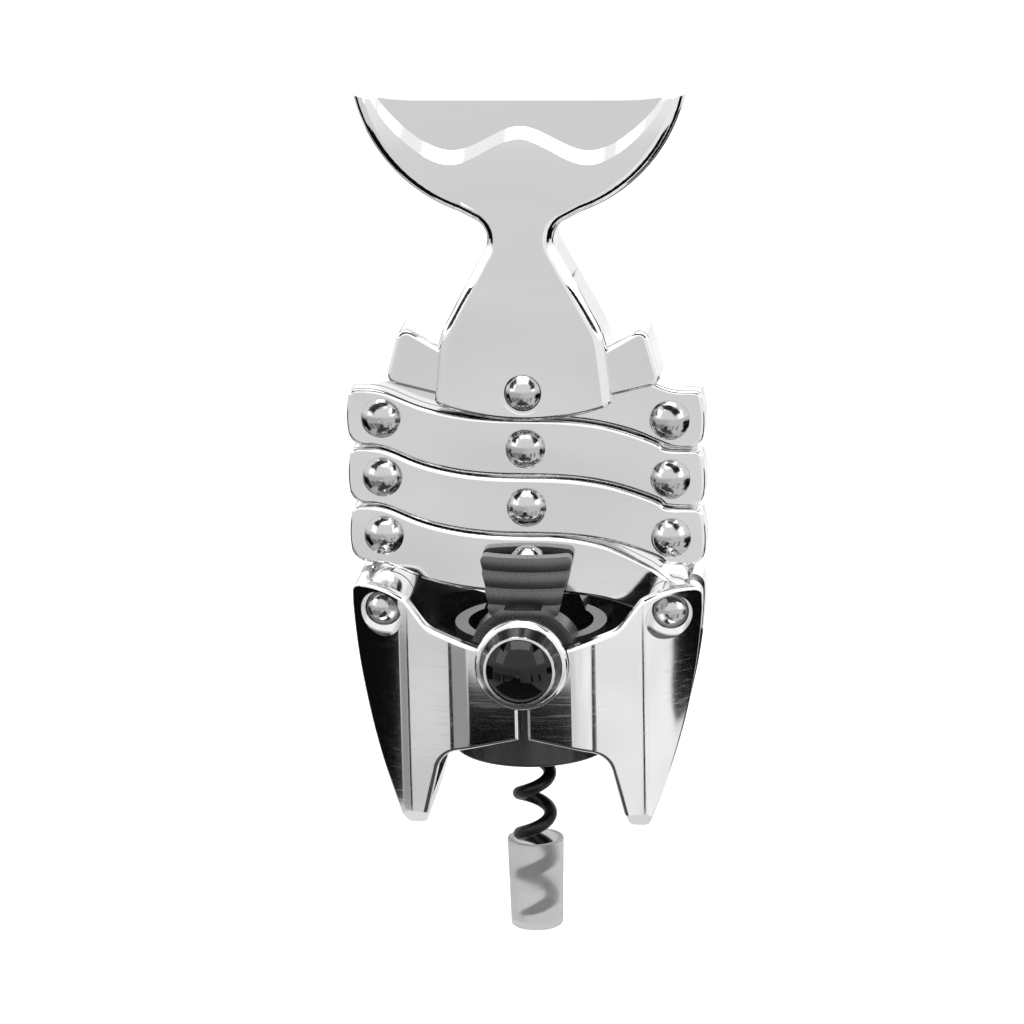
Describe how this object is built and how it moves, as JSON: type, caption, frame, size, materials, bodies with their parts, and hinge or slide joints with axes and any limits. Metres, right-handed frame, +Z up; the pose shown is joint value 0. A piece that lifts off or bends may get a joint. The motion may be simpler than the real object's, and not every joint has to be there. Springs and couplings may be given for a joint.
{
  "type": "corkscrew",
  "caption": "Fish-shaped chrome lazy-tongs corkscrew with dome rivets, two jaws, a dark bottle bell, a black worm and a clear tip sleeve.",
  "frame": {"origin": "centre of the bottle seat inside the bell, on the worm's axis", "axes": "+Z up the worm's axis towards the tail, -Y towards the front, hinges about Y"},
  "size_m": [0.0758, 0.0564, 0.1832],
  "materials": {
    "chrome": "polished plate",
    "steel": "satin",
    "bell_plastic": "satin",
    "eye_black": "gloss",
    "worm_coat": "satin",
    "sleeve_plastic": "frosted"
  },
  "bodies": {
    "bell": {"bottle_bell": "bell_plastic", "eye_pin_front": "chrome", "eye_pin_back": "chrome", "eye_dome_front": "eye_black", "eye_dome_back": "eye_black"},
    "left_jaw": {"jaw_left": "chrome", "rivet_jaw_left": "chrome"},
    "right_jaw": {"jaw_right": "chrome", "rivet_jaw_right": "chrome"},
    "front_lower": {"arm_front_lower": "chrome", "rivet_worm": "chrome", "rivet_left_lower": "chrome"},
    "back_lower": {"arm_back_lower": "chrome", "rivet_right_lower": "chrome"},
    "front_middle": {"arm_front_middle": "chrome", "rivet_centre_middle": "chrome", "rivet_left_middle": "chrome"},
    "back_middle": {"arm_back_middle": "chrome", "rivet_right_middle": "chrome"},
    "front_upper": {"arm_front_upper": "chrome", "rivet_centre_upper": "chrome", "rivet_left_upper": "chrome"},
    "back_upper": {"arm_back_upper": "chrome", "rivet_right_upper": "chrome"},
    "front_top": {"arm_front_top": "chrome"},
    "back_top": {"arm_back_top": "chrome"},
    "tail": {"tail_handle": "chrome", "rivet_tail": "chrome"},
    "worm": {"worm_yoke": "steel", "worm": "worm_coat"},
    "sleeve": {"worm_sleeve": "sleeve_plastic"}
  },
  "joints": [
    {"name": "left_jaw_turn", "type": "hinge", "parent": "bell", "child": "left_jaw", "pos_m": [0, 0, 0.009], "axis": [0, 1, 0], "range_deg": [0, 45]},
    {"name": "right_jaw_turn", "type": "hinge", "parent": "bell", "child": "right_jaw", "pos_m": [0, 0, 0.009], "axis": [0, 1, 0], "range_deg": [-45, 0]},
    {"name": "front_lower_turn", "type": "hinge", "parent": "right_jaw", "child": "front_lower", "pos_m": [0.0305, 0, 0.0175], "axis": [0, 1, 0], "range_deg": [0, 90]},
    {"name": "back_lower_turn", "type": "hinge", "parent": "left_jaw", "child": "back_lower", "pos_m": [-0.0305, 0, 0.0175], "axis": [0, 1, 0], "range_deg": [-90, 0]},
    {"name": "back_middle_turn", "type": "hinge", "parent": "front_lower", "child": "back_middle", "pos_m": [-0.0305, 0, 0.0324], "axis": [0, 1, 0], "range_deg": [-90, 0]},
    {"name": "front_middle_turn", "type": "hinge", "parent": "back_lower", "child": "front_middle", "pos_m": [0.0305, 0, 0.0324], "axis": [0, 1, 0], "range_deg": [0, 90]},
    {"name": "back_upper_turn", "type": "hinge", "parent": "front_middle", "child": "back_upper", "pos_m": [-0.0305, 0, 0.0452], "axis": [0, 1, 0], "range_deg": [-90, 0]},
    {"name": "front_upper_turn", "type": "hinge", "parent": "back_middle", "child": "front_upper", "pos_m": [0.0305, 0, 0.0452], "axis": [0, 1, 0], "range_deg": [0, 90]},
    {"name": "back_top_turn", "type": "hinge", "parent": "front_upper", "child": "back_top", "pos_m": [-0.0305, 0, 0.058], "axis": [0, 1, 0], "range_deg": [-90, 0]},
    {"name": "front_top_turn", "type": "hinge", "parent": "back_upper", "child": "front_top", "pos_m": [0.0305, 0, 0.058], "axis": [0, 1, 0], "range_deg": [0, 90]},
    {"name": "tail_turn", "type": "hinge", "parent": "front_top", "child": "tail", "pos_m": [0, 0, 0.0644], "axis": [0, 1, 0], "range_deg": [-45, 0]},
    {"name": "worm_turn", "type": "hinge", "parent": "front_lower", "child": "worm", "pos_m": [0, 0, 0.026], "axis": [0, 1, 0], "range_deg": [-45, 0]},
    {"name": "sleeve_pull", "type": "slide", "parent": "worm", "child": "sleeve", "axis": [0, 0, -1], "range_m": [0, 0.025]}
  ],
  "couplings": [
    {"joint": "right_jaw_turn", "follows": "left_jaw_turn", "ratio": -1},
    {"joint": "front_lower_turn", "follows": "left_jaw_turn", "ratio": 2},
    {"joint": "back_lower_turn", "follows": "left_jaw_turn", "ratio": -2},
    {"joint": "back_middle_turn", "follows": "left_jaw_turn", "ratio": -2},
    {"joint": "front_middle_turn", "follows": "left_jaw_turn", "ratio": 2},
    {"joint": "back_upper_turn", "follows": "left_jaw_turn", "ratio": -2},
    {"joint": "front_upper_turn", "follows": "left_jaw_turn", "ratio": 2},
    {"joint": "back_top_turn", "follows": "left_jaw_turn", "ratio": -2},
    {"joint": "front_top_turn", "follows": "left_jaw_turn", "ratio": 2},
    {"joint": "tail_turn", "follows": "left_jaw_turn", "ratio": -1},
    {"joint": "worm_turn", "follows": "left_jaw_turn", "ratio": -1}
  ]
}
